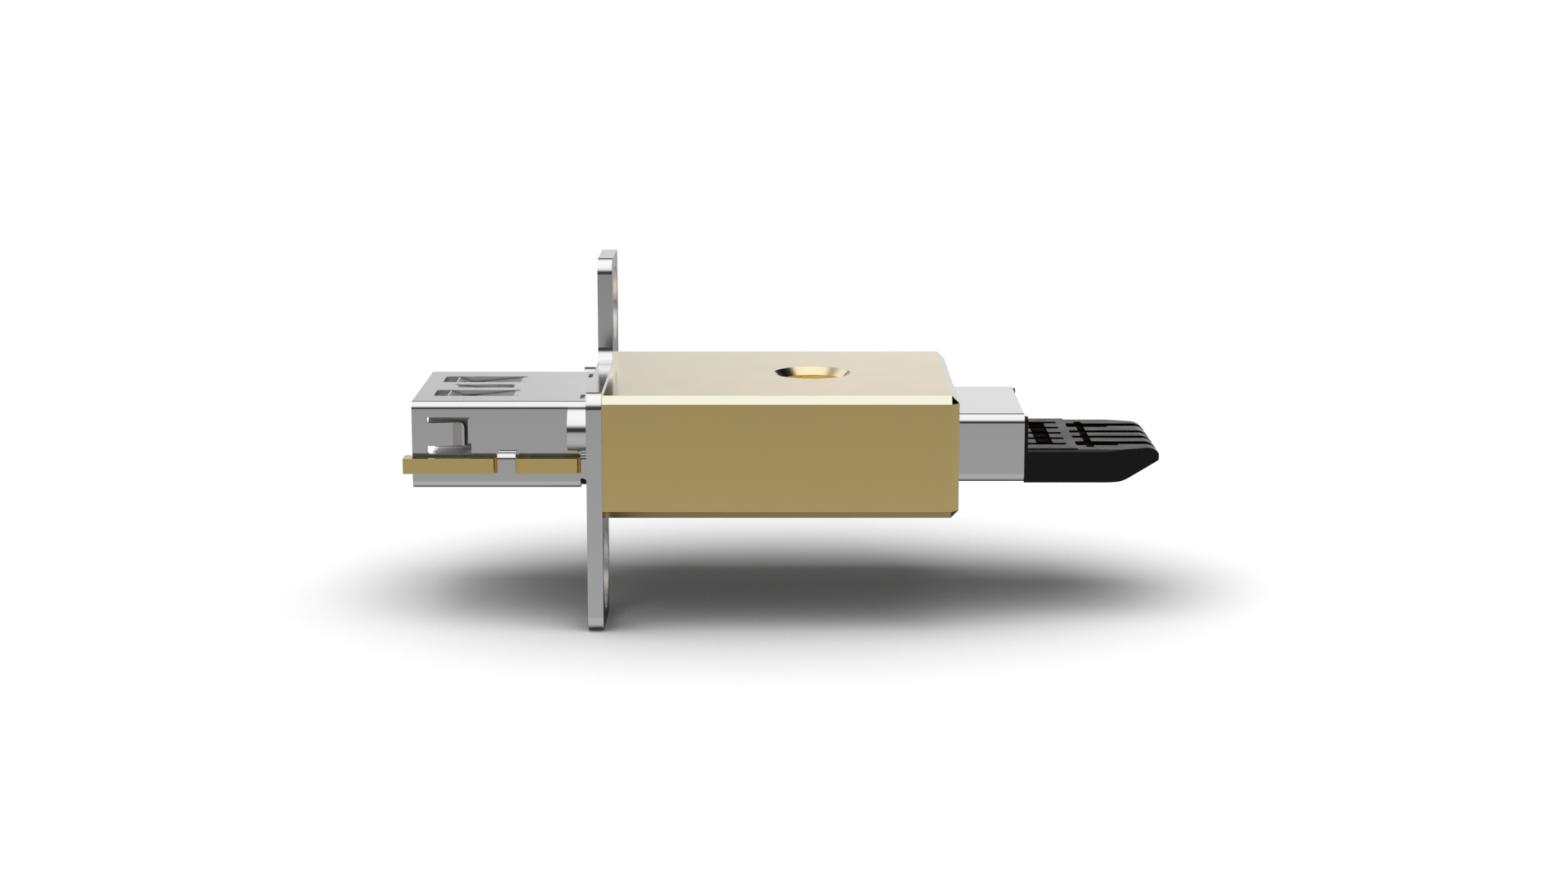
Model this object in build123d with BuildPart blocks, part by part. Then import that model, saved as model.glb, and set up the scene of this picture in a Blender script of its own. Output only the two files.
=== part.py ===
from build123d import *
from math import radians, tan
import os

os.makedirs("parts", exist_ok=True)

# An inline connector unit in millimetres: a socket sunk into a board on the left, a flange with
# two ears, a machined housing block, and a plug on the right.
# X runs from the socket to the plug and Z is up. The origin is midway between the two ear holes,
# on the flange's block side, level with the middle of the plug.

# Steel sheet and the gaps between pieces
sheet = 0.3
slide_gap = 0.05
window_gap = 0.1
bend_r = 0.2

# Socket shell
shell_w = 13.0
shell_h = 5.72
shell_corner = 0.47
shell_rise = 0.33
socket_stick = 11.6
shell_back = 4.0
floor_cut = 0.63
floor_cut_h = 0.66
floor_cut_drop = 0.26
floor_cut_flat = 0.19

# Circuit board
board_top = -0.39
board_t = 1.0
board_ahead = 0.52
board_hook = 0.5
arm_w = 0.9
board_shoulder = 12.0
tail_w_gap = 0.2
tail_into_plug = 2.95

# Solder tabs that fold out of the shell's sides and stand in the board's notches
tab_w = 1.2
tab_leg = 1.15
tab_inset = 0.1
notch_front_gap = 0.22
notch_corner = 0.4
tab_starts = (5.62, 11.05)

# Housing block
socket_bay = 10.6
bridge = 5.9
plug_bay = 6.43
roof_wall = 0.81
floor_wall = 1.27
side_wall = 2.35
block_edge = 0.5

# Tapped hole on top of the block
tap_r = 2.1
tap_rim_r = 2.6
tap_depth = 3.0

# Flange plate
flange_t = 1.0
flange_side_lip = 0.4
flange_top_lip = 0.2
ear_w = 7.0
ear_reach = 7.0
plate_corner = 1.0
ear_hole_r = 2.6

# Flange screws
screw_r = 0.8
screw_length = 4.4
screw_head_r = 1.45
screw_head_h = 1.26
screw_dome = 0.12
screw_hex_r = 0.55
screw_hex_depth = 0.7
screw_beside_shell = 1.7
screw_rise = 1.37
thread_gap = 0.02

# Spring fingers cut from the shell
finger_y = 2.82
finger_window_w = 2.45
finger_slit = 0.25
finger_window_front = 1.17
finger_window_l = 5.6
finger_tip_gap = 0.85
finger_rise = 0.95
finger_clear = 0.26
middle_window_w = 1.4
middle_window_front = 2.07
middle_window_l = 4.1
middle_tip_gap = 0.2
middle_rise = 0.5
window_corner = 0.2
key_slot_y = 4.3
key_slot_w = 1.5
key_slot_l = 0.3

# Side springs, one on each side of the mouth
side_spring_front = 0.98
side_spring_l = 2.49
side_spring_bend = 0.4
side_spring_corner = 0.35
side_spring_low = 0.27
side_spring_high = 1.78
side_spring_push = 0.37
side_slit_top = 0.4
side_slit_end = 0.2
side_slit_low = 0.51
side_slit_over = 0.33
side_slit_corner = 0.12

# Contacts of both ends: five in a row at the pitch, and four between and beside them
fast_pitch = 2.0
slow_inner_y = 1.0
slow_outer_y = 3.42
contact_t = 0.2
tail_length = 1.8
socket_contact_w = 0.4
socket_spring_w = 0.5
channel_gap = 0.02

# Socket insulator
cavity_depth = 10.1
tongue_w = 11.1
tongue_t = 1.84
tongue_back = 1.0
tongue_lift = 0.12
tongue_edge = 0.15
foot_lift = 0.2

# Plug shell and the insert inside it
plug_w = 12.0
plug_h = 4.5
plug_corner = 0.57
plug_stick = 4.47
insert_top = -0.1
insert_into_block = 3.5
insert_wall = 1.0

# Comb-like nose of the insert, ahead of the plug shell
nose_length = 9.0
nose_bevel_w = 0.32
nose_bevel_h = 0.1
taper_start = 5.6
taper_angle = 20.0
brow_drop = 0.46
chin_height = 1.28
chin_angle = 27.0
rim_t = 0.23
rim_w = 0.7
rim_top_gap = 0.15
rim_corner = 0.3
deck_length = 3.54
deck_w = 11.3
deck_rise = 0.08
fast_slot_w = 0.7
fast_slot_end = 2.93
fast_pocket_start = 0.97
fast_pocket_l = 1.1
fast_contact_w = 0.5
slow_depth = 0.1
channel_start = 4.2
channel_l = 0.52
channel_w = 9.6
outer_groove_w = 1.46
outer_groove_l = 2.81
outer_fin_shift = 0.21
outer_fin_gap_w = 1.04
inner_groove_w = 0.88
inner_contact_end = 5.6
fin_depth = 0.7

# Places worked out from the sizes above
shell_top = shell_rise + shell_h / 2
shell_bottom = shell_rise - shell_h / 2
shell_front = -flange_t - socket_stick
shell_side = shell_w / 2
floor_end = -flange_t - floor_cut
board_bottom = board_top - board_t
board_front = shell_front - board_ahead
cutout_side = shell_side + window_gap
board_side = cutout_side + arm_w
cutout_end = shell_back + 2 * window_gap
block_l = socket_bay + bridge + plug_bay
block_side = board_side + slide_gap + side_wall
block_top = shell_top + window_gap + roof_wall
block_bottom = shell_bottom - window_gap - floor_wall
plug_bay_floor = socket_bay + bridge
plug_end = block_l + plug_stick
plug_inner_side = plug_w / 2 - sheet
plug_inner_top = plug_h / 2 - sheet
insert_rear = plug_bay_floor + insert_into_block - slide_gap
board_rear = plug_bay_floor + tail_into_plug
tail_side = plug_inner_side - tail_w_gap
tap_x = socket_bay + bridge / 2
flange_side = block_side + flange_side_lip
flange_top = block_top + flange_top_lip
ear_top = flange_top + ear_reach
ear_inner = flange_side - ear_w
ear_hole_y = flange_side - ear_w / 2
ear_hole_z = ear_top - ear_w / 2
screw_y = cutout_side + screw_beside_shell
screw_z = shell_rise + screw_rise
leg_y = board_side - tab_inset - sheet / 2
tongue_bottom = shell_rise + insert_top + tongue_lift
tongue_top = tongue_bottom + tongue_t
tongue_tip = shell_front + tongue_back
cavity_end = shell_front + cavity_depth
fast_rows = [i * fast_pitch for i in (-2, -1, 0, 1, 2)]
slow_rows = [-slow_outer_y, -slow_inner_y, slow_inner_y, slow_outer_y]


def bar(x0, x1, y0, y1, z0, z1, mode=Mode.ADD):
    """A straight block between three pairs of limits."""
    with BuildSketch(Plane.XY.offset(z0)) as plan:
        with Locations(((x0 + x1) / 2, (y0 + y1) / 2)):
            Rectangle(x1 - x0, y1 - y0)
    extrude(plan.sketch, amount=z1 - z0, mode=mode)


def round_bar(x0, x1, width, z0, z1, corner, mode=Mode.ADD):
    """A bar along X with rounded long edges, centred across the unit."""
    with BuildSketch(Plane.YZ.offset(x0)) as section:
        with Locations((0, (z0 + z1) / 2)):
            RectangleRounded(width, z1 - z0, corner)
    extrude(section.sketch, amount=x1 - x0, mode=mode)


def strip(points, y, width, thickness, mode=Mode.ADD):
    """A flat strip bent along its middle line, which the points give as seen from the side."""
    with BuildSketch(Plane.XZ.offset(-y)) as profile:
        with BuildLine():
            FilletPolyline(*points, radius=bend_r)
        trace(line_width=thickness)
    extrude(profile.sketch, amount=width / 2, both=True, mode=mode)


def save(piece, name):
    """Name the piece and write it to its own file."""
    piece.part.label = name
    export_step(piece.part, f"parts/{name}.step")


# Housing block, with a bay for each connector and a slot for the board between them
with BuildPart() as housing_block:
    bar(0, block_l, -block_side, block_side, block_bottom, block_top)
    end_edges = housing_block.faces().sort_by(Axis.X)[-1].edges()
    chamfer(housing_block.edges().filter_by(Axis.X) + end_edges, length=block_edge)
    round_bar(
        0, socket_bay, 2 * cutout_side, shell_bottom - window_gap, shell_top + window_gap,
        shell_corner + window_gap, Mode.SUBTRACT,
    )
    slot_limits = (board_bottom - slide_gap, board_top + slide_gap)
    slot_side = board_side + slide_gap
    bar(0, board_shoulder, -slot_side, slot_side, *slot_limits, Mode.SUBTRACT)
    tail_slot = tail_side + slide_gap
    bar(0, plug_bay_floor, -tail_slot, tail_slot, *slot_limits, Mode.SUBTRACT)
    round_bar(
        plug_bay_floor, block_l, plug_w + 2 * slide_gap, -plug_h / 2 - slide_gap,
        plug_h / 2 + slide_gap, plug_corner + slide_gap, Mode.SUBTRACT,
    )
    with Locations((tap_x, 0, block_top)):
        CounterSinkHole(tap_r, tap_rim_r, depth=tap_depth, counter_sink_angle=90)
    with BuildSketch(Plane.YZ):
        with Locations((-screw_y, screw_z), (screw_y, screw_z)):
            Circle(screw_r + thread_gap)
    extrude(amount=screw_length, mode=Mode.SUBTRACT)
save(housing_block, "housing_block")

# Flange plate: a Z-shaped outline with one ear up and one ear down
with BuildPart() as flange_plate:
    with BuildSketch(Plane.YZ.offset(-flange_t)) as plate_outline:
        with BuildLine():
            Polyline(
                (-flange_side, flange_top), (ear_inner, flange_top),
                (ear_inner, ear_top), (flange_side, ear_top),
                (flange_side, -flange_top), (-ear_inner, -flange_top),
                (-ear_inner, -ear_top), (-flange_side, -ear_top),
                close=True,
            )
        make_face()
        fillet(plate_outline.vertices(), radius=plate_corner)
        with Locations((0, shell_rise)):
            RectangleRounded(
                2 * cutout_side, shell_h + 2 * window_gap, shell_corner + window_gap,
                mode=Mode.SUBTRACT,
            )
        notch_top = board_top + sheet + window_gap
        notch_bottom = board_top - tab_leg - window_gap
        with Locations((0, (notch_top + notch_bottom) / 2)):
            Rectangle(
                2 * (board_side + window_gap), notch_top - notch_bottom, mode=Mode.SUBTRACT
            )
        with Locations((ear_hole_y, ear_hole_z), (-ear_hole_y, -ear_hole_z)):
            Circle(ear_hole_r, mode=Mode.SUBTRACT)
        with Locations((-screw_y, screw_z), (screw_y, screw_z)):
            Circle(screw_r + window_gap, mode=Mode.SUBTRACT)
    extrude(amount=flange_t)
save(flange_plate, "flange_plate")

# Two screws that hold the flange to the block, with domed heads and hexagon recesses
head_face = -flange_t - screw_head_h
with BuildPart() as flange_screws:
    for side in (-screw_y, screw_y):
        with BuildSketch(Plane.XZ.offset(-side)):
            with BuildLine():
                axis_tip = (head_face - screw_dome, screw_z)
                head_corner = (head_face, screw_z + screw_head_r)
                ThreePointArc(
                    axis_tip,
                    (head_face - 0.75 * screw_dome, screw_z + screw_head_r / 2),
                    head_corner,
                )
                Polyline(
                    head_corner,
                    (-flange_t, screw_z + screw_head_r),
                    (-flange_t, screw_z + screw_r),
                    (screw_length - flange_t, screw_z + screw_r),
                    (screw_length - flange_t, screw_z),
                    axis_tip,
                )
            make_face()
        revolve(axis=Axis((0, side, screw_z), (1, 0, 0)))
        with BuildSketch(Plane.YZ.offset(head_face - screw_dome)):
            with Locations((side, screw_z)):
                RegularPolygon(screw_hex_r, 6)
        extrude(amount=screw_hex_depth, mode=Mode.SUBTRACT)
save(flange_screws, "flange_screws")

# Circuit board: two arms with small hooks hold the socket, and a narrow tail enters the plug
notch_inner = leg_y - sheet / 2 - tab_inset
with BuildPart() as circuit_board:
    bar(board_front, board_shoulder, -board_side, board_side, board_bottom, board_top)
    bar(board_shoulder, board_rear, -tail_side, tail_side, board_bottom, board_top)
    hook_end = shell_front - window_gap
    hook_side = cutout_side - board_hook
    bar(board_front, hook_end, -hook_side, hook_side, board_bottom, board_top, Mode.SUBTRACT)
    bar(
        hook_end, cutout_end, -cutout_side, cutout_side, board_bottom, board_top,
        Mode.SUBTRACT,
    )
    for start in tab_starts:
        notch_limits = (
            shell_front + start - notch_front_gap, shell_front + start + tab_w + slide_gap
        )
        for side in (-1, 1):
            near, far = sorted((side * notch_inner, side * (board_side + arm_w)))
            with BuildSketch(Plane.XY.offset(board_bottom)) as notch:
                with Locations((sum(notch_limits) / 2, (near + far) / 2)):
                    Rectangle(notch_limits[1] - notch_limits[0], far - near)
                fillet(notch.vertices().group_by(Axis.X)[0], radius=notch_corner)
            extrude(amount=board_t, mode=Mode.SUBTRACT)
save(circuit_board, "circuit_board")

# One side spring of the socket shell, bent inwards, with its free corners rounded
spring_root = shell_front + side_spring_front
spring_end = spring_root + side_spring_l
wall_mid = shell_side - sheet / 2
with BuildPart() as side_spring:
    with BuildSketch(Plane.XY.offset(side_spring_low)):
        with BuildLine():
            FilletPolyline(
                (spring_root - sheet, wall_mid),
                (spring_root + sheet, wall_mid),
                (spring_end - side_spring_bend, wall_mid - side_spring_push),
                (spring_end, wall_mid - side_spring_push / 2),
                radius=bend_r,
            )
        trace(line_width=sheet)
    extrude(amount=side_spring_high - side_spring_low)
    end_face = side_spring.faces().sort_by(Axis.X)[-1]
    fillet(end_face.edges().sort_by(Axis.Z)[-1], radius=side_spring_corner)

# Socket shell: folded sheet with spring fingers, side springs and solder tabs, all one piece
sheet_mid = shell_top - sheet / 2
finger_low = tongue_top + finger_clear + sheet / 2
finger_root = shell_front + finger_window_front + finger_window_l
middle_root = shell_front + middle_window_front
with BuildPart() as socket_shell:
    round_bar(shell_front, shell_back, shell_w, shell_bottom, shell_top, shell_corner)
    round_bar(
        shell_front, shell_back, shell_w - 2 * sheet, shell_bottom + sheet, shell_top - sheet,
        shell_corner - sheet, Mode.SUBTRACT,
    )
    with BuildSketch(Plane.XZ) as rear_cut:
        with BuildLine():
            Polyline(
                (floor_end, shell_bottom - sheet),
                (floor_end, shell_bottom + floor_cut_h),
                (floor_end + floor_cut_flat, shell_bottom + floor_cut_h),
                (floor_end + floor_cut, shell_bottom + floor_cut_h - floor_cut_drop),
                (shell_back, shell_bottom + floor_cut_h - floor_cut_drop),
                (shell_back, shell_bottom - sheet),
                close=True,
            )
        make_face()
    extrude(rear_cut.sketch, amount=shell_w, both=True, mode=Mode.SUBTRACT)

    # Windows of the outer fingers, top and bottom, and of the middle finger in the top
    with BuildSketch() as outer_windows:
        with Locations(
            (finger_root - finger_window_l / 2, finger_y),
            (finger_root - finger_window_l / 2, -finger_y),
        ):
            RectangleRounded(finger_window_l, finger_window_w, window_corner)
    extrude(outer_windows.sketch, amount=shell_h, both=True, mode=Mode.SUBTRACT)
    with BuildSketch() as top_openings:
        with Locations((middle_root + middle_window_l / 2, 0)):
            RectangleRounded(middle_window_l, middle_window_w, window_corner)
        with Locations(
            (floor_end + slide_gap, key_slot_y), (floor_end + slide_gap, -key_slot_y)
        ):
            Rectangle(key_slot_l, key_slot_w)
    extrude(top_openings.sketch, amount=shell_h, mode=Mode.SUBTRACT)

    # Fingers: they slope down to a low point that presses on the plug, then rise to the tip
    finger_w = finger_window_w - 2 * finger_slit
    finger_end = shell_front + finger_window_front + finger_tip_gap
    finger_line = [
        (finger_root + 2 * sheet, sheet_mid),
        (finger_root, sheet_mid),
        (finger_end + finger_rise, finger_low),
        (finger_end, sheet_mid),
    ]
    floor_line = [(x, 2 * shell_rise - z) for x, z in finger_line]
    for y in (-finger_y, finger_y):
        strip(finger_line, y, finger_w, sheet)
        strip(floor_line, y, finger_w, sheet)
    middle_end = middle_root + middle_window_l - middle_tip_gap
    middle_line = [
        (middle_root - 2 * sheet, sheet_mid),
        (middle_root, sheet_mid),
        (middle_end - middle_rise, finger_low),
        (middle_end, finger_low + sheet),
    ]
    strip(middle_line, 0, middle_window_w - 2 * finger_slit, sheet)

    # Side springs stand in an L-shaped cut and press inwards
    slit_elbow = (spring_end + side_slit_end, 0, side_spring_high + side_slit_top / 2)
    with BuildSketch(Plane.XZ) as side_cut:
        with BuildLine():
            Polyline(
                (spring_root, side_spring_high + side_slit_top),
                (spring_end + side_slit_over, side_spring_high + side_slit_top),
                (spring_end + side_slit_end, side_spring_high + side_slit_top / 2),
                (spring_end + side_slit_end, side_spring_low + side_slit_end),
                (spring_end + 1.2 * side_slit_over, side_spring_low + side_slit_end),
                (spring_end + 1.2 * side_slit_over, side_spring_low - side_slit_low),
                (spring_root, side_spring_low - side_slit_low),
                close=True,
            )
        make_face()
        cut_corners = side_cut.vertices()
        left_corners = cut_corners.group_by(Axis.X)[0]
        fillet(left_corners + cut_corners.sort_by_distance(slit_elbow)[0], side_slit_corner)
    extrude(side_cut.sketch, amount=shell_w, both=True, mode=Mode.SUBTRACT)
    add(side_spring.part)
    mirror(side_spring.part, about=Plane.XZ)

    # Solder tabs fold out over the board and down through its notches
    fold_z = board_top + sheet / 2
    for start in tab_starts:
        tab_x = shell_front + start
        bar(
            tab_x, tab_x + tab_w, -shell_w, shell_w, board_bottom, fold_z + bend_r,
            Mode.SUBTRACT,
        )
        for side in (-1, 1):
            with BuildSketch(Plane.YZ.offset(tab_x)) as tab:
                with BuildLine():
                    FilletPolyline(
                        (side * wall_mid, fold_z + 2 * bend_r),
                        (side * wall_mid, fold_z),
                        (side * leg_y, fold_z),
                        (side * leg_y, board_top - tab_leg),
                        radius=bend_r,
                    )
                trace(line_width=sheet)
            extrude(tab.sketch, amount=tab_w)
save(socket_shell, "socket_shell")

# Middle lines of the contacts
fast_layer = tongue_top - 3 * contact_t
slow_layer = tongue_bottom + contact_t / 2
foot_z = board_top + contact_t / 2
fast_socket_line = [
    (tongue_tip + 0.3, slow_layer),
    (tongue_tip + 2.3, slow_layer),
    (tongue_tip + 3.4, fast_layer),
    (shell_back + 2.6, fast_layer),
    (shell_back + 2.6, foot_z),
    (shell_back + 3.6, foot_z),
]
slow_socket_line = [
    (tongue_tip + 3.0, slow_layer + contact_t / 2),
    (tongue_tip + 4.4, slow_layer - 2.5 * contact_t),
    (tongue_tip + 7.1, slow_layer),
    (shell_back + 1.0, slow_layer),
    (shell_back + 1.0, foot_z),
    (shell_back + 1.9, foot_z),
]
fast_plug_ends = (board_rear - tail_length, plug_end + fast_slot_end - slide_gap)


def slow_plug_line(reach):
    """A front contact of the plug runs under the board, rises, and ends in a flat pad."""
    riser_x = plug_end + (fast_slot_end + deck_length) / 2
    pad_z = insert_top - slow_depth - contact_t / 2
    return [
        (board_rear - tail_length, board_bottom - contact_t / 2),
        (riser_x, board_bottom - contact_t / 2),
        (riser_x, pad_z),
        (plug_end + reach, pad_z),
    ]


# Socket insulator: a body that closes the back of the shell, with a tongue towards the mouth
skin = sheet + slide_gap
body_side = shell_side - skin
with BuildPart() as socket_insulator:
    bar(
        cavity_end, shell_back - slide_gap, -body_side, body_side,
        shell_bottom + skin, shell_top - skin,
    )
    bar(
        floor_end + slide_gap, shell_back - slide_gap, -body_side, body_side,
        shell_bottom + foot_lift, shell_bottom + skin,
    )
    bar(tongue_tip, cavity_end, -tongue_w / 2, tongue_w / 2, tongue_bottom, tongue_top)
    tip_edges = socket_insulator.faces().sort_by(Axis.X)[0].edges()
    chamfer(tip_edges, length=tongue_edge)
    for y in fast_rows:
        strip(
            fast_socket_line, y, socket_contact_w + 2 * channel_gap,
            contact_t + 2 * channel_gap, Mode.SUBTRACT,
        )
    for y in slow_rows:
        strip(
            slow_socket_line, y, socket_spring_w + 2 * channel_gap,
            contact_t + 2 * channel_gap, Mode.SUBTRACT,
        )
save(socket_insulator, "socket_insulator")

# Socket contacts: five flat ones near the tongue's tip and four bowed springs behind them
for number, y in enumerate(fast_rows, start=1):
    with BuildPart() as contact:
        strip(fast_socket_line, y, socket_contact_w, contact_t)
    save(contact, f"socket_contact_front_{number}")
for number, y in enumerate(slow_rows, start=1):
    with BuildPart() as contact:
        strip(slow_socket_line, y, socket_spring_w, contact_t)
    save(contact, f"socket_contact_spring_{number}")

# Plug shell: a plain folded tube that seats on the floor of its bay
with BuildPart() as plug_shell:
    round_bar(plug_bay_floor, plug_end, plug_w, -plug_h / 2, plug_h / 2, plug_corner)
    round_bar(
        plug_bay_floor, plug_end, 2 * plug_inner_side, -plug_inner_top, plug_inner_top,
        plug_corner - sheet, Mode.SUBTRACT,
    )
save(plug_shell, "plug_shell")

# Nose of the plug insert: its side outline, its plan and its cross-section, cut by each other
nose_tip = plug_end + nose_length
nose_bottom = -plug_h / 2
nose_side = plug_w / 2
chin_z = nose_bottom + chin_height
with BuildPart() as nose:
    with BuildSketch(Plane.XZ):
        with BuildLine():
            nose_outline = FilletPolyline(
                (plug_end, nose_bottom),
                (nose_tip - chin_height / tan(radians(chin_angle)), nose_bottom),
                (nose_tip, chin_z),
                (nose_tip, insert_top - brow_drop),
                (nose_tip - brow_drop, insert_top),
                (plug_end, insert_top),
                radius=[1.9, 0.12, 0.12, 0.8],
            )
            Line(nose_outline @ 1, nose_outline @ 0)
        make_face()
    extrude(amount=nose_side, both=True)
    with BuildSketch(Plane.XY.offset(nose_bottom)):
        with BuildLine():
            taper = (nose_length - taper_start) * tan(radians(taper_angle))
            half_plan = FilletPolyline(
                (plug_end, nose_side),
                (plug_end + taper_start, nose_side),
                (nose_tip, nose_side - taper),
                (nose_tip, 0),
                radius=[2.0, 0.3],
            )
            mirror(half_plan, about=Plane.XZ)
            Line((plug_end, nose_side), (plug_end, -nose_side))
        make_face()
    extrude(amount=plug_h, mode=Mode.INTERSECT)
    with BuildSketch(Plane.YZ.offset(plug_end)):
        with BuildLine():
            Polyline(
                (-nose_side, nose_bottom), (nose_side, nose_bottom),
                (nose_side, insert_top - nose_bevel_h),
                (nose_side - nose_bevel_w, insert_top),
                (nose_bevel_w - nose_side, insert_top),
                (-nose_side, insert_top - nose_bevel_h),
                close=True,
            )
        make_face()
    extrude(amount=nose_length, mode=Mode.INTERSECT)

# Plug insert: the body inside the shell, the nose ahead of it, and the slots for the contacts
slot_floor = board_top
deck_top = insert_top + deck_rise
pad_floor = insert_top - slow_depth - contact_t
deck_end = plug_end + deck_length
with BuildPart() as plug_insert:
    add(nose.part)
    inner_side = plug_inner_side - slide_gap
    inner_top = plug_inner_top - slide_gap
    round_bar(
        insert_rear, plug_end, 2 * inner_side, -inner_top, inner_top, plug_corner - sheet
    )
    bar(
        insert_rear + insert_wall, plug_end, -inner_side, inner_side, insert_top, inner_top,
        Mode.SUBTRACT,
    )
    bar(plug_end, deck_end, -deck_w / 2, deck_w / 2, insert_top, deck_top)
    for side in (-1, 1):
        with BuildSketch(Plane.YZ.offset(plug_end)) as rim:
            with Locations((side * (nose_side - rim_w / 2), 0)):
                RectangleRounded(rim_w, plug_h - 2 * rim_top_gap, rim_corner)
        extrude(rim.sketch, amount=rim_t)

    # Five slots from the back wall to the deck, with the walls between them lowered in a pocket
    for y in fast_rows:
        bar(
            insert_rear + insert_wall, plug_end + fast_slot_end,
            y - fast_slot_w / 2, y + fast_slot_w / 2, slot_floor, deck_top, Mode.SUBTRACT,
        )
        bar(
            insert_rear, insert_rear + insert_wall,
            y - fast_contact_w / 2 - channel_gap, y + fast_contact_w / 2 + channel_gap,
            slot_floor, slot_floor + contact_t + channel_gap, Mode.SUBTRACT,
        )
    pocket_x = plug_end + fast_pocket_start
    pocket_side = 2 * fast_pitch + fast_slot_w / 2
    bar(
        pocket_x, pocket_x + fast_pocket_l, -pocket_side, pocket_side,
        foot_z - contact_t / 4, deck_top, Mode.SUBTRACT,
    )

    # Cross channel and the grooves of the front contacts, which run out over the tip
    channel_x = plug_end + channel_start
    bar(
        channel_x, channel_x + channel_l, -channel_w / 2, channel_w / 2, pad_floor,
        insert_top, Mode.SUBTRACT,
    )
    fin_floor = insert_top - fin_depth
    for y in slow_rows:
        outer = abs(y) > slow_inner_y
        groove_w = outer_groove_w if outer else inner_groove_w
        reach = deck_length + outer_groove_l if outer else inner_contact_end
        fin_y = y + outer_fin_shift if outer else y
        fin_w = outer_fin_gap_w if outer else inner_groove_w
        bar(
            deck_end, plug_end + reach, y - groove_w / 2, y + groove_w / 2, pad_floor,
            insert_top, Mode.SUBTRACT,
        )
        bar(
            plug_end + reach, nose_tip, fin_y - fin_w / 2, fin_y + fin_w / 2, fin_floor,
            insert_top, Mode.SUBTRACT,
        )
        strip(
            slow_plug_line(reach - slide_gap), y, groove_w - slide_gap,
            contact_t + 2 * channel_gap, Mode.SUBTRACT,
        )
save(plug_insert, "plug_insert")

# Plug contacts: five straight ones in the rear slots and four pads in the front grooves
for number, y in enumerate(fast_rows, start=1):
    with BuildPart() as contact:
        bar(
            *fast_plug_ends, y - fast_contact_w / 2, y + fast_contact_w / 2,
            slot_floor, slot_floor + contact_t,
        )
    save(contact, f"plug_contact_rear_{number}")
for number, y in enumerate(slow_rows, start=1):
    outer = abs(y) > slow_inner_y
    groove_w = outer_groove_w if outer else inner_groove_w
    reach = deck_length + outer_groove_l if outer else inner_contact_end
    with BuildPart() as contact:
        strip(slow_plug_line(reach - slide_gap), y, groove_w - 2 * slide_gap, contact_t)
    save(contact, f"plug_contact_front_{number}")
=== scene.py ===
"""Finishes, light and camera for an inline connector: a socket and a plug in a brass block."""

import logging
from collections.abc import Sequence
from dataclasses import dataclass
from enum import Enum
from math import radians, sin

import bpy
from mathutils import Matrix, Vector


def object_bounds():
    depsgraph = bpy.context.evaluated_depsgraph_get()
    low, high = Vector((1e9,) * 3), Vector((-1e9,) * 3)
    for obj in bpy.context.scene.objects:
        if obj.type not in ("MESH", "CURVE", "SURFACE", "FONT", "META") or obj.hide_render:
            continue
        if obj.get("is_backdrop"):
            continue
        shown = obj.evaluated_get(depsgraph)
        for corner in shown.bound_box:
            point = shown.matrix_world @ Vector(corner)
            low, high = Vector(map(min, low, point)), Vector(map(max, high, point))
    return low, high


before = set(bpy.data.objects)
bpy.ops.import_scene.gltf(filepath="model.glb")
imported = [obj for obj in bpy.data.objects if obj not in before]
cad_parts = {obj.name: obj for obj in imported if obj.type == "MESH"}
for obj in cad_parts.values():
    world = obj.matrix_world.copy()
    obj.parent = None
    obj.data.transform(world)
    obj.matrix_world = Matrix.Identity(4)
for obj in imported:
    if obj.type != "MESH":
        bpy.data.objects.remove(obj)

LOG = logging.getLogger("connector")
MM = 0.001

Triple = tuple[float, float, float]
Colour = Triple
Span = tuple[float, float]
Profile = Sequence[tuple[float, float]]
Socket = bpy.types.NodeSocket
Term = Socket | float

# Where a noise pattern, which is about 0.5 on average, turns from one look to the other
NOISE_MIDDLE: Span = (0.3, 0.7)


class Lay(Enum):
    """Which way the fine lines of a worked surface run, as a stretch along X, Y and Z."""

    ALONG_X = (0.06, 1.0, 1.0)
    ALONG_Z = (1.0, 1.0, 0.06)
    EVEN = (1.0, 1.0, 1.0)


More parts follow.
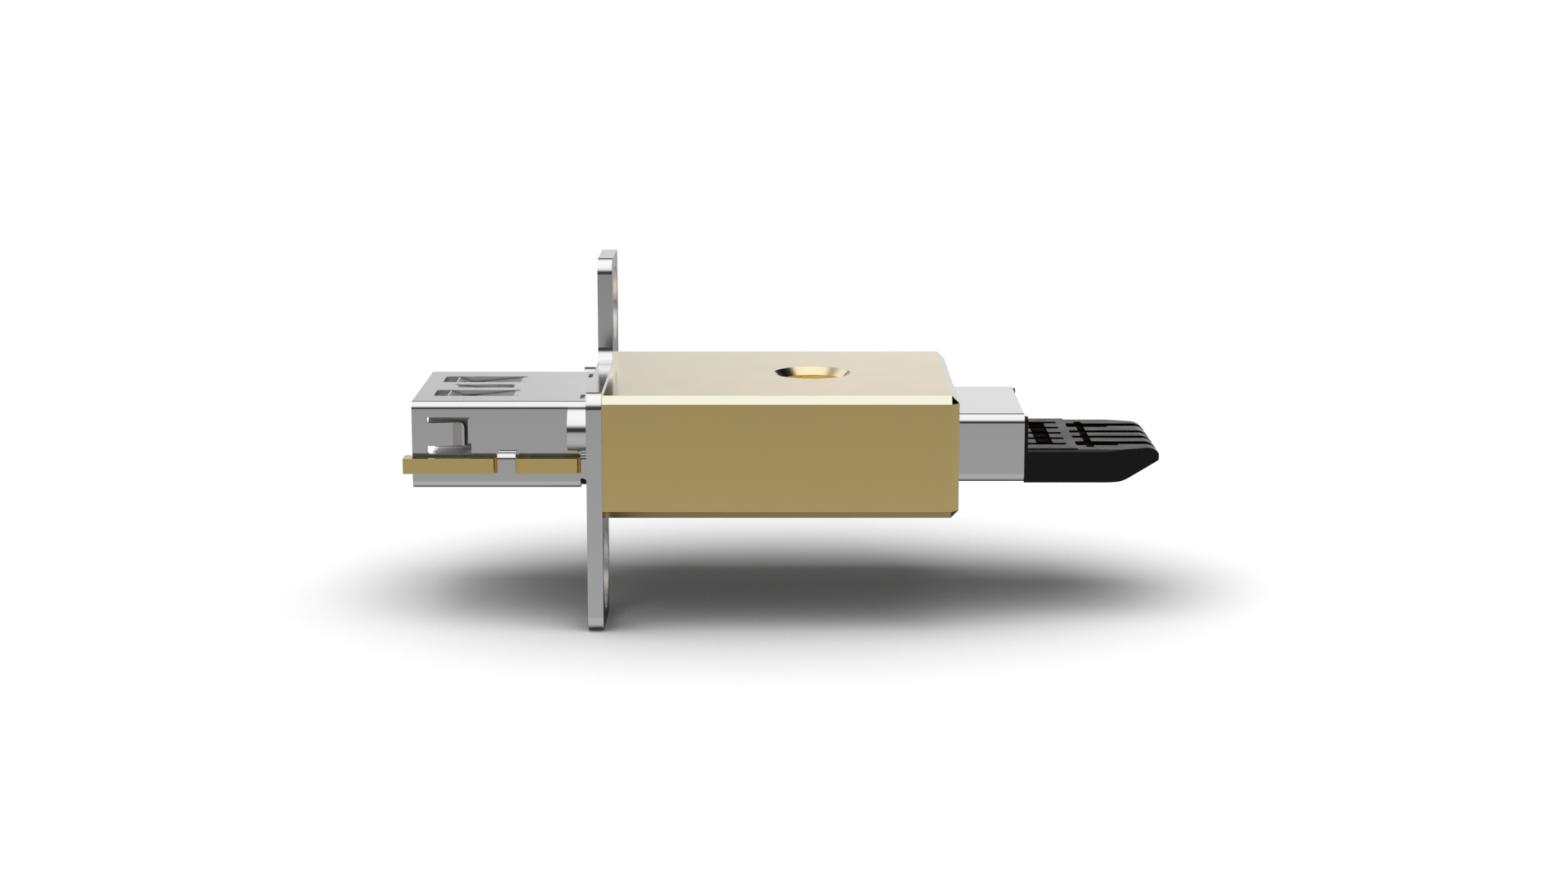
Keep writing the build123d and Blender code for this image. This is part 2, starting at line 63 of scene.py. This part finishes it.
class Wiring:
    """Adds nodes to one node tree and joins their sockets."""

    def __init__(self, tree: bpy.types.NodeTree) -> None:
        """Start on an empty tree.

        Args:
            tree: The node tree to fill.
        """
        self.tree = tree
        tree.nodes.clear()

    def add(self, kind: str, inputs: dict | None = None, **settings: object) -> bpy.types.Node:
        """Add one node.

        Args:
            kind: The node's type name.
            inputs: Values or sockets for the node's inputs, by name or number.
            settings: The node's own properties.

        Returns:
            The new node.
        """
        node = self.tree.nodes.new(kind)
        for name, value in settings.items():
            setattr(node, name, value)
        for key, value in (inputs or {}).items():
            if isinstance(value, Socket):
                self.tree.links.new(value, node.inputs[key])
            else:
                node.inputs[key].default_value = value
        return node

    def math(self, operation: str, *terms: Term) -> Socket:
        """Join numbers with a math node.

        Args:
            operation: The math node's operation.
            terms: The sockets or numbers that it works on.

        Returns:
            The result's socket.
        """
        return self.add("ShaderNodeMath", dict(enumerate(terms)), operation=operation).outputs[0]

    def both(self, first: Term, second: Term) -> Socket:
        """Multiply two masks, so that only what lies in both is left."""
        return self.math("MULTIPLY", first, second)

    def vector(self, operation: str, *terms: Socket | Triple) -> Socket:
        """Join vectors with a vector math node.

        Args:
            operation: The vector math node's operation.
            terms: The sockets or vectors that it works on.

        Returns:
            The result's socket.
        """
        return self.add("ShaderNodeVectorMath", dict(enumerate(terms)), operation=operation).outputs[0]

    def split(self, vector: Socket) -> tuple[Socket, Socket, Socket]:
        """Take a vector apart.

        Args:
            vector: The vector's socket.

        Returns:
            The sockets of its X, Y and Z.
        """
        return tuple(self.add("ShaderNodeSeparateXYZ", {0: vector}).outputs)

    def rise(self, value: Term, span: Span, to: Span = (0.0, 1.0)) -> Socket:
        """Turn a value into a smooth rise.

        Args:
            value: The value to follow.
            span: Where the rise starts and ends.
            to: The results at the start and at the end.

        Returns:
            The result's socket.
        """
        limits = {0: value, 1: span[0], 2: span[1], 3: to[0], 4: to[1]}
        return self.add("ShaderNodeMapRange", limits, interpolation_type="SMOOTHSTEP").outputs[0]

    def ramp(self, value: Term, stops: Profile) -> Socket:
        """Turn a value into a grey along straight runs between stops.

        Args:
            value: The value to follow, from 0 to 1.
            stops: Pairs of a place from 0 to 1 and a grey.

        Returns:
            The grey's socket.
        """
        node = self.add("ShaderNodeValToRGB", {0: value})
        band = node.color_ramp.elements
        while len(band) < len(stops):
            band.new(1.0)
        for stop, (place, shade) in zip(band, stops):
            stop.position = place
            stop.color = (shade, shade, shade, 1.0)
        return node.outputs["Color"]

    def blend(self, share: Term, first: Term, second: Term) -> Socket:
        """Mix two values.

        Args:
            share: How much of the second value shows, from 0 to 1.
            first: The value at share 0.
            second: The value at share 1.

        Returns:
            The mixed value's socket.
        """
        return self.add("ShaderNodeMix", {0: share, 2: first, 3: second}).outputs[0]

    def tint(self, share: Term, first: Colour | Socket, second: Colour) -> Socket:
        """Mix two colours.

        Args:
            share: How much of the second colour shows, from 0 to 1.
            first: The colour at share 0, or its socket.
            second: The colour at share 1.

        Returns:
            The mixed colour's socket.
        """
        start = first if isinstance(first, Socket) else (*first, 1.0)
        inputs = {0: share, 6: start, 7: (*second, 1.0)}
        return self.add("ShaderNodeMix", inputs, data_type="RGBA").outputs[2]

    def layer(self, share: Term, first: bpy.types.Node, second: bpy.types.Node) -> bpy.types.Node:
        """Mix two shaders.

        Args:
            share: How much of the second shader shows, from 0 to 1.
            first: The shader at share 0.
            second: The shader at share 1.

        Returns:
            The mixed shader.
        """
        return self.add("ShaderNodeMixShader", {0: share, 1: first.outputs[0], 2: second.outputs[0]})

    def noise(self, lay: Lay, per_mm: float, detail: float = 3.0) -> Socket:
        """A noise pattern that is fixed to the object.

        Args:
            lay: Which way the pattern is drawn out.
            per_mm: How many grains there are in a millimetre.
            detail: How many finer layers there are.

        Returns:
            The pattern's socket, about 0.5 on average.
        """
        place = self.add("ShaderNodeTexCoord").outputs["Object"]
        scale = tuple(per_mm / MM * factor for factor in lay.value)
        placed = self.add("ShaderNodeMapping", {0: place, "Scale": scale}).outputs[0]
        inputs = {"Vector": placed, "Scale": 1.0, "Detail": detail}
        return self.add("ShaderNodeTexNoise", inputs).outputs[0]


@dataclass(frozen=True)
class Region:
    """A box in the part's own frame, in millimetres."""

    low: Triple
    high: Triple

    def mask(self, wires: Wiring) -> Socket:
        """Find what lies in the box.

        Args:
            wires: The node tree to fill.

        Returns:
            A socket that is 1 in the box and 0 outside it.
        """
        middle = tuple((low + high) / 2 * MM for low, high in zip(self.low, self.high))
        half = tuple((high - low) / 2 * MM for low, high in zip(self.low, self.high))
        place = wires.add("ShaderNodeTexCoord").outputs["Object"]
        off_middle = wires.vector("ABSOLUTE", wires.vector("SUBTRACT", place, middle))
        x, y, z = wires.split(wires.vector("SUBTRACT", off_middle, half))
        furthest = wires.math("MAXIMUM", wires.math("MAXIMUM", x, y), z)
        return wires.math("LESS_THAN", furthest, 0.0)


@dataclass
class Look:
    """A surface's colour, roughness and metal share while a finish is put together."""

    paint: Socket
    gloss: Socket
    metal: Term


@dataclass(frozen=True)
class Patch:
    """Another look that a finish has in some regions, apart from a region that is spared."""

    regions: tuple[Region, ...]
    colour: Colour
    roughness: float
    metal: float = 1.0
    spared: Region | None = None

    def mask(self, wires: Wiring) -> Term:
        """Find what lies in the patch.

        Args:
            wires: The node tree to fill.

        Returns:
            A socket that is 1 in the patch and 0 outside it.
        """
        inside: Term = 0.0
        for region in self.regions:
            inside = wires.math("MAXIMUM", inside, region.mask(wires))
        if self.spared:
            inside = wires.both(inside, wires.math("SUBTRACT", 1.0, self.spared.mask(wires)))
        return inside

    def apply(self, wires: Wiring, look: Look) -> None:
        """Change a look where the patch lies.

        Args:
            wires: The node tree to fill.
            look: The look of the rest of the surface, which is changed.
        """
        inside = self.mask(wires)
        look.paint = wires.tint(inside, look.paint, self.colour)
        look.gloss = wires.blend(inside, look.gloss, self.roughness)
        if look.metal != self.metal:
            look.metal = wires.blend(inside, look.metal, self.metal)


@dataclass(frozen=True)
class PaintedBevelHighlight:
    """A painted highlight: a pale colour on the bevels that face up, standing in for the washed-out glare
    of the overhead light, with a region where it is weaker.
    """

    colour: Colour
    weaker_in: Region
    weaker_share: float = 0.55
    past_flank: Span = (0.5, 0.65)
    before_top: Span = (0.95, 0.8)

    def mask(self, wires: Wiring) -> Socket:
        """Find the bevels that get the painted highlight by how far their normal points up.

        Args:
            wires: The node tree to fill.

        Returns:
            A socket with the share of the painted highlight.
        """
        up = wires.split(wires.add("ShaderNodeNewGeometry").outputs["Normal"])[2]
        highlighted_slopes = wires.both(wires.rise(up, self.past_flank), wires.rise(up, self.before_top))
        return wires.both(highlighted_slopes, wires.blend(self.weaker_in.mask(wires), 1.0, self.weaker_share))


@dataclass(frozen=True)
class Finish:
    """What all finishes have: two near colours, a roughness, fine relief and broken edges."""

    name: str
    colour: Colour
    second_colour: Colour
    roughness: float
    relief_mm: float

    def start(self) -> tuple[bpy.types.Material, Wiring]:
        """Start an empty material.

        Returns:
            The material and the wiring of its node tree.
        """
        made = bpy.data.materials.new(self.name)
        made.use_nodes = True
        return made, Wiring(made.node_tree)

    def varied_gloss(self, wires: Wiring, pattern: Socket, spread: float) -> Socket:
        """Let the roughness follow a pattern.

        Args:
            wires: The node tree to fill.
            pattern: The pattern to follow.
            spread: The share by which the roughness falls and rises.

        Returns:
            The roughness's socket.
        """
        limits = (self.roughness * (1 - spread), self.roughness * (1 + spread))
        return wires.rise(pattern, NOISE_MIDDLE, limits)

    def relief(self, wires: Wiring, height: Socket, edge_mm: float) -> Socket:
        """Raise a fine relief and break the edges.

        Args:
            wires: The node tree to fill.
            height: The pattern of the relief.
            edge_mm: The radius of the broken edges.

        Returns:
            The normal's socket.
        """
        edge = wires.add("ShaderNodeBevel", {"Radius": edge_mm * MM}, samples=4)
        inputs = {
            "Strength": 0.5,
            "Distance": self.relief_mm * MM,
            "Height": height,
            "Normal": edge.outputs[0],
        }
        return wires.add("ShaderNodeBump", inputs).outputs[0]


@dataclass(frozen=True)
class MetalFinish(Finish):
    """A bare or lacquered metal with fine working lines and faint clouds."""

    edge_mm: float = 0.03
    lay: Lay = Lay.ALONG_X
    lacquer: float = 0.0
    grazing_tint: Colour = (1.0, 1.0, 1.0)
    # A painted highlight on the bevels that face up, if the finish has one
    bevel_highlight: PaintedBevelHighlight | None = None
    patch: Patch | None = None
    lines_per_mm: float = 9.0
    cross_per_mm: float = 7.0
    cross_share: float = 0.4
    clouds_per_mm: float = 0.35
    cloud_share: float = 0.35
    gloss_spread: float = 0.15

    def look(self, wires: Wiring, worked: Socket) -> Look:
        """Put the colours and the roughness together.

        Args:
            wires: The node tree to fill.
            worked: The pattern of the working lines.

        Returns:
            The look, with the painted bevel highlight and the patch in it.
        """
        shade = wires.blend(self.cloud_share, worked, wires.noise(Lay.EVEN, self.clouds_per_mm))
        paint = wires.tint(wires.rise(shade, NOISE_MIDDLE), self.second_colour, self.colour)
        # Painted highlight: tint the bevels that face up pale
        if self.bevel_highlight:
            paint = wires.tint(self.bevel_highlight.mask(wires), paint, self.bevel_highlight.colour)
        look = Look(paint, self.varied_gloss(wires, shade, self.gloss_spread), 1.0)
        if self.patch:
            self.patch.apply(wires, look)
        return look

    def material(self) -> bpy.types.Material:
        """Build the finish.

        Returns:
            The finished material.
        """
        made, wires = self.start()
        lines = wires.noise(self.lay, self.lines_per_mm)
        cross = wires.noise(Lay.ALONG_Z, self.cross_per_mm)
        worked = wires.blend(self.cross_share, lines, cross)
        look = self.look(wires, worked)
        relief = self.relief(wires, worked, self.edge_mm)
        inputs = {
            "Base Color": look.paint,
            "Metallic": look.metal,
            "Roughness": look.gloss,
            "Specular Tint": (*self.grazing_tint, 1.0),
            "Coat Weight": self.lacquer,
            "Coat Roughness": self.roughness,
            "Normal": relief,
            "Coat Normal": relief,
        }
        body = wires.add("ShaderNodeBsdfPrincipled", inputs)
        wires.add("ShaderNodeOutputMaterial", {0: body.outputs[0]})
        return made


@dataclass(frozen=True)
class MouldedFinish(Finish):
    """A moulded plastic with a fine grain."""

    reflectance: float
    patch: Patch | None = None
    edge_mm: float = 0.03
    grains_per_mm: float = 14.0
    clouds_per_mm: float = 0.6
    gloss_spread: float = 0.1

    def material(self) -> bpy.types.Material:
        """Build the finish.

        Returns:
            The finished material.
        """
        made, wires = self.start()
        grain = wires.noise(Lay.EVEN, self.grains_per_mm)
        clouds = wires.noise(Lay.EVEN, self.clouds_per_mm)
        paint = wires.tint(clouds, self.colour, self.second_colour)
        look = Look(paint, self.varied_gloss(wires, clouds, self.gloss_spread), 0.0)
        if self.patch:
            self.patch.apply(wires, look)
        inputs = {
            "Base Color": look.paint,
            "Metallic": look.metal,
            "Roughness": look.gloss,
            "Specular IOR Level": self.reflectance,
            "Normal": self.relief(wires, grain, self.edge_mm),
        }
        body = wires.add("ShaderNodeBsdfPrincipled", inputs)
        wires.add("ShaderNodeOutputMaterial", {0: body.outputs[0]})
        return made


def grey(value: float) -> Colour:
    """Turn one number into a grey."""
    return (value, value, value)


# The plain part of the tapped hole, whose wall is painted a lighter, partly matt yellow as painted light,
# and its countersunk mouth, where the painted bevel highlight is weaker
TAPPED_BORE_PAINTED_LIGHT = Region((11.4, -2.15, 0.6), (15.7, 2.15, 3.55))
BORE_MOUTH = Region((10.8, -2.8, 3.5), (16.3, 2.8, 4.5))
# The room inside the socket shell, painted a darker steel as painted shade, and the walls of both ear
# holes, painted a paler steel as a painted highlight
SHELL_CAVITY_SHADE = Region((-12.4, -6.22, -2.25), (4.0, 6.22, 3.15))
UPPER_EAR_HOLE_HIGHLIGHT = Region((-0.98, 4.1, 5.1), (-0.02, 9.5, 10.5))
LOWER_EAR_HOLE_HIGHLIGHT = Region((-0.98, -9.5, -10.5), (-0.02, -4.1, -5.1))
# The upper part of the insulator looks like grey metal through the shell's windows and slits,
# apart from the middle of its tongue
ABOVE_BOARD = Region((-20.0, -20.0, 0.3), (10.0, 20.0, 10.0))
TONGUE_CORE = Region((-20.0, -5.5, -3.0), (10.0, 5.5, 2.15))

SATIN_BRASS = MetalFinish(
    name="satin_brass",
    colour=(1.0, 0.76, 0.30),
    second_colour=(0.98, 0.74, 0.28),
    roughness=0.16,
    relief_mm=0.0012,
    lacquer=1.0,
    # Painted highlight: the bevels that face up are painted pale, more weakly in the countersunk mouth
    bevel_highlight=PaintedBevelHighlight(colour=(0.85, 0.82, 0.66), weaker_in=BORE_MOUTH),
    # Painted light: a lighter, partly matt yellow in the tapped hole makes its wall look lit
    patch=Patch((TAPPED_BORE_PAINTED_LIGHT,), colour=(0.85, 0.64, 0.14), roughness=0.5, metal=0.4),
)
BOARD_BRASS = MetalFinish(
    name="board_brass",
    colour=(1.0, 0.76, 0.29),
    second_colour=(0.95, 0.70, 0.25),
    roughness=0.14,
    relief_mm=0.0002,
    edge_mm=0.01,
    lacquer=1.0,
)
SOCKET_STEEL = MetalFinish(
    name="socket_steel",
    colour=grey(0.85),
    second_colour=grey(0.83),
    roughness=0.13,
    relief_mm=0.0008,
    # Painted shade: inside the shell the steel is painted a darker grey, and it is also made duller
    patch=Patch((SHELL_CAVITY_SHADE,), colour=grey(0.7), roughness=0.4),
)
PLUG_STEEL = MetalFinish(
    name="plug_steel",
    colour=grey(0.85),
    second_colour=grey(0.83),
    roughness=0.11,
    relief_mm=0.0005,
)
FLANGE_STEEL = MetalFinish(
    name="flange_steel",
    colour=grey(0.88),
    second_colour=grey(0.86),
    roughness=0.15,
    relief_mm=0.0006,
    edge_mm=0.05,
    lay=Lay.ALONG_Z,
    # Painted highlight: the walls of the ear holes are a paler, duller steel, so they look brighter
    # inside
    patch=Patch((UPPER_EAR_HOLE_HIGHLIGHT, LOWER_EAR_HOLE_HIGHLIGHT), colour=grey(0.95), roughness=0.3),
)
SCREW_STEEL = MetalFinish(
    name="screw_steel",
    colour=grey(0.87),
    second_colour=grey(0.85),
    roughness=0.08,
    relief_mm=0.0002,
    edge_mm=0.04,
    lay=Lay.EVEN,
)
CONTACT_GOLD = MetalFinish(
    name="contact_gold",
    colour=(0.85, 0.60, 0.24),
    second_colour=(0.72, 0.48, 0.17),
    roughness=0.16,
    relief_mm=0.0004,
)
# Painted shade: the plug's contacts are painted near-black brown with almost no grazing glare, standing
# in for the shade in their slots
CONTACT_SLOT_SHADE = MetalFinish(
    name="contact_slot_shade",
    colour=(0.06, 0.04, 0.02),
    second_colour=(0.04, 0.026, 0.012),
    roughness=0.3,
    relief_mm=0.0004,
    grazing_tint=(0.06, 0.045, 0.03),
)
BLACK_MOULDING = MouldedFinish(
    name="black_moulding",
    colour=grey(0.001),
    second_colour=grey(0.0015),
    roughness=0.27,
    relief_mm=0.0008,
    reflectance=0.31,
)
NAVY_MOULDING = MouldedFinish(
    name="navy_moulding",
    colour=(0.0035, 0.0035, 0.014),
    second_colour=(0.0045, 0.0045, 0.018),
    roughness=0.3,
    relief_mm=0.0004,
    reflectance=0.35,
    patch=Patch((ABOVE_BOARD,), colour=grey(0.75), roughness=0.5, spared=TONGUE_CORE),
)


@dataclass
class SubAssembly:
    """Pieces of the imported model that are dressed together."""

    nodes: dict[str, bpy.types.Object]

    def dress(self, finish: MetalFinish | MouldedFinish, *names: str) -> None:
        """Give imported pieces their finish.

        Args:
            finish: The finish to build.
            names: The pieces' names, or the first part of several pieces' names.
        """
        material = finish.material()
        for name, piece in self.nodes.items():
            if name.startswith(names):
                for place in piece.material_slots:
                    place.material = material
                LOG.info("%s: %s", name, finish.name)


@dataclass
class Housing(SubAssembly):
    """The block, the flange and the screws between them."""

    def build(self) -> None:
        """Dress the housing's pieces."""
        self.dress(SATIN_BRASS, "housing_block")
        self.dress(FLANGE_STEEL, "flange_plate")
        self.dress(SCREW_STEEL, "flange_screws")


@dataclass
class SocketEnd(SubAssembly):
    """The board and the socket sunk into it."""

    def build(self) -> None:
        """Dress the socket end's pieces."""
        self.dress(BOARD_BRASS, "circuit_board")
        self.dress(SOCKET_STEEL, "socket_shell")
        self.dress(NAVY_MOULDING, "socket_insulator")
        self.dress(CONTACT_GOLD, "socket_contact")


@dataclass
class PlugEnd(SubAssembly):
    """The plug shell, its insert and its contacts."""

    def build(self) -> None:
        """Dress the plug end's pieces."""
        self.dress(PLUG_STEEL, "plug_shell")
        self.dress(BLACK_MOULDING, "plug_insert")
        self.dress(CONTACT_SLOT_SHADE, "plug_contact")


@dataclass
class Floor:
    """The pale floor that the lower ear touches."""

    height: float
    size: float = 12.0
    whiteness: float = 0.8
    shade_reach: float = 0.08
    shade_depth: float = 1.3
    fill_even: float = 0.06
    fill_open: float = 0.067
    mirrored_shadow_grey: float = 0.02
    mirrored_shadow_span: Span = (0.15, 0.5)

    def paint(self) -> bpy.types.Material:
        """Build the floor's white, with a painted shade under the object: ambient occlusion darkens its
        colour and its glow, besides the lamp's cast shadow.

        Mirrored in the object, the floor is clear, apart from a painted shadow where the object is near:
        a near-black glow that only mirror rays see.

        Returns:
            The finished material.
        """
        made = bpy.data.materials.new("floor_white_painted_shade")
        made.use_nodes = True
        wires = Wiring(made.node_tree)
        # Painted shade: ambient occlusion darkens the floor under and around the object
        around = wires.add("ShaderNodeAmbientOcclusion", {"Distance": self.shade_reach}, samples=16)
        open_sky = around.outputs["AO"]
        shade = wires.math("POWER", open_sky, self.shade_depth)
        # Painted light: the floor glows a little of its own, less where its painted shade is deeper
        fill = wires.math("MULTIPLY_ADD", shade, self.fill_open, self.fill_even)
        glow = wires.add("ShaderNodeEmission", {"Color": fill})
        lit = wires.add("ShaderNodeBsdfDiffuse", {"Color": wires.math("MULTIPLY", shade, self.whiteness)})
        seen = wires.add("ShaderNodeAddShader", {0: glow.outputs[0], 1: lit.outputs[0]})
        # Painted shadow: mirror rays see a near-black glow on the floor where it is shaded, and clear
        # floor elsewhere
        dark = wires.add("ShaderNodeEmission", {"Color": (*grey(self.mirrored_shadow_grey), 1.0)})
        clear = wires.add("ShaderNodeBsdfTransparent")
        mirrored = wires.layer(wires.rise(open_sky, self.mirrored_shadow_span), dark, clear)
        by_mirror = wires.add("ShaderNodeLightPath").outputs["Is Glossy Ray"]
        both = wires.layer(by_mirror, seen, mirrored)
        wires.add("ShaderNodeOutputMaterial", {0: both.outputs[0]})
        return made

    def build(self) -> None:
        """Lay the floor."""
        half = self.size / 2
        corners = [(-half, -half), (half, -half), (half, half), (-half, half)]
        mesh = bpy.data.meshes.new("floor")
        mesh.from_pydata([(x, y, self.height) for x, y in corners], [], [(0, 1, 2, 3)])
        mesh.materials.append(self.paint())
        sheet = bpy.data.objects.new("floor", mesh)
        bpy.context.scene.collection.objects.link(sheet)
        sheet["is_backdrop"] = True
        LOG.info("floor at %.4f m", self.height)


@dataclass
class Lamp:
    """The broad lamp that casts the soft shadow, from the camera's and the socket's side."""

    power: float = 4.4
    spread: float = 75.0
    lean: tuple[float, float] = (24.0, -10.0)

    def build(self) -> None:
        """Hang the lamp, out of sight of the metal."""
        data = bpy.data.lights.new("lamp", "SUN")
        data.energy = self.power
        data.angle = radians(self.spread)
        lamp = bpy.data.objects.new("lamp", data)
        lamp.rotation_euler = (*(radians(lean) for lean in self.lean), 0.0)
        lamp.visible_glossy = False
        bpy.context.scene.collection.objects.link(lamp)
        LOG.info("lamp: %.1f", self.power)


@dataclass
class Surroundings:
    """The studio that the metal mirrors: greys by elevation in degrees for each side of the room.

    Spans are in parts of a direction: across from socket to plug, away from the camera, and up.
    """

    near_side: Profile = (
        (-90, 0.38), (-66, 0.47), (-30, 0.47), (-22, 0.45), (-13.6, 0.405), (-11.6, 0.385),
        (-9.3, 0.355), (-8, 0.315), (-4.8, 0.15), (-0.4, 0.062), (4, 0.034), (10, 0.034),
        (14, 0.06), (21, 0.3), (25.6, 0.58), (30, 0.8), (38, 1.0), (50, 1.05), (90, 1.05),
    )
    far_side: Profile = (
        (-90, 0.24), (-76, 0.19), (-64, 0.14), (-50, 0.05), (-20, 0.05), (-13, 0.12), (-8, 0.27),
        (-3.4, 0.64), (6, 0.76), (12, 0.76), (15, 0.05), (28, 0.05), (34, 0.1), (44, 0.5),
        (53, 0.88), (62, 1.05), (90, 1.05),
    )
    left_side: Profile = (
        (-90, 0.95), (38, 0.95), (46, 0.7), (53, 0.4), (58, 0.45), (68, 1.0), (90, 1.0),
    )
    far_from: Span = (-0.25, 0.25)
    far_until: Span = (0.85, 0.6)
    sweep_across: Span = (-0.15, 0.04)
    sweep_greys: Span = (0.81, 1.12)
    sweep_top: Span = (0.2, 0.24)
    left_from: Span = (-0.35, -0.5)
    left_above: Span = (0.25, 0.4)
    panel_from: Span = (0.93, 0.965)
    panel_power: float = 1.08
    right_from: Span = (0.45, 0.58)
    right_above: Span = (0.3, 0.45)
    right_grey: float = 0.0
    backdrop_grey: float = 1.0

    @staticmethod
    def by_height(profile: Profile) -> list[tuple[float, float]]:
        """Turn elevations into ramp places.

        Args:
            profile: Pairs of an elevation in degrees and a grey.

        Returns:
            Pairs of a place from 0 to 1 and the grey.
        """
        return [((sin(radians(angle)) + 1) / 2, shade) for angle, shade in profile]

    def room(self, wires: Wiring) -> Socket:
        """Paint the sides of the room and the panel overhead.

        Args:
            wires: The node tree to fill.

        Returns:
            The grey's socket.
        """
        across, away, up = wires.split(wires.add("ShaderNodeTexCoord").outputs["Generated"])
        place = wires.math("MULTIPLY_ADD", up, 0.5, 0.5)
        sweep = wires.blend(wires.rise(across, self.sweep_across), *self.sweep_greys)
        sweep = wires.blend(wires.rise(up, self.sweep_top), sweep, 1.0)
        near = wires.ramp(place, self.by_height(self.near_side))
        far = wires.math("MULTIPLY", wires.ramp(place, self.by_height(self.far_side)), sweep)
        left = wires.ramp(place, self.by_height(self.left_side))
        in_far = wires.both(wires.rise(away, self.far_from), wires.rise(across, self.far_until))
        in_left = wires.both(wires.rise(across, self.left_from), wires.rise(up, self.left_above))
        in_right = wires.both(wires.rise(across, self.right_from), wires.rise(up, self.right_above))
        shade = wires.blend(in_far, near, far)
        shade = wires.blend(in_left, shade, left)
        shade = wires.blend(wires.rise(up, self.panel_from), shade, self.panel_power)
        return wires.blend(in_right, shade, self.right_grey)

    def build(self) -> None:
        """Build the world: a white backdrop to the camera, and the room to everything else."""
        world = bpy.data.worlds.new("studio")
        bpy.context.scene.world = world
        world.use_nodes = True
        wires = Wiring(world.node_tree)
        rays = wires.add("ShaderNodeLightPath").outputs
        shade = wires.blend(rays["Is Camera Ray"], self.room(wires), self.backdrop_grey)
        direct = wires.math("LESS_THAN", rays["Diffuse Depth"], 0.5)
        sky = wires.add("ShaderNodeBackground", {"Color": shade, "Strength": direct})
        wires.add("ShaderNodeOutputWorld", {0: sky.outputs[0]})
        LOG.info("surroundings: %s", world.name)


@dataclass
class Viewpoint:
    """The camera at the photograph's viewpoint, in millimetres and degrees."""

    eye: Triple = (11.67, -199.30, 35.98)
    pitch: float = 10.394
    lens: float = 68.9925
    sensor_width: float = 36.0
    clip: Span = (0.005, 50.0)

    def build(self) -> None:
        """Set up the camera."""
        data = bpy.data.cameras.new("camera")
        data.lens = self.lens
        data.sensor_width = self.sensor_width
        data.clip_start, data.clip_end = self.clip
        camera = bpy.data.objects.new("camera", data)
        camera.location = tuple(value * MM for value in self.eye)
        camera.rotation_euler = (radians(90 - self.pitch), 0.0, 0.0)
        bpy.context.scene.collection.objects.link(camera)
        bpy.context.scene.camera = camera
        bpy.context.scene.view_settings.view_transform = "Standard"
        LOG.info("camera: lens %.1f mm", self.lens)


def main(nodes: dict[str, bpy.types.Object]) -> None:
    """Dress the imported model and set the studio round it.

    Args:
        nodes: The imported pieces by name.
    """
    logging.basicConfig(level=logging.INFO, format="%(message)s")
    packed_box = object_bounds()
    for part in (Housing(nodes), SocketEnd(nodes), PlugEnd(nodes)):
        part.build()
    for setting in (Floor(packed_box[0].z), Lamp(), Surroundings(), Viewpoint()):
        setting.build()


if __name__ == "__main__":
    main(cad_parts)
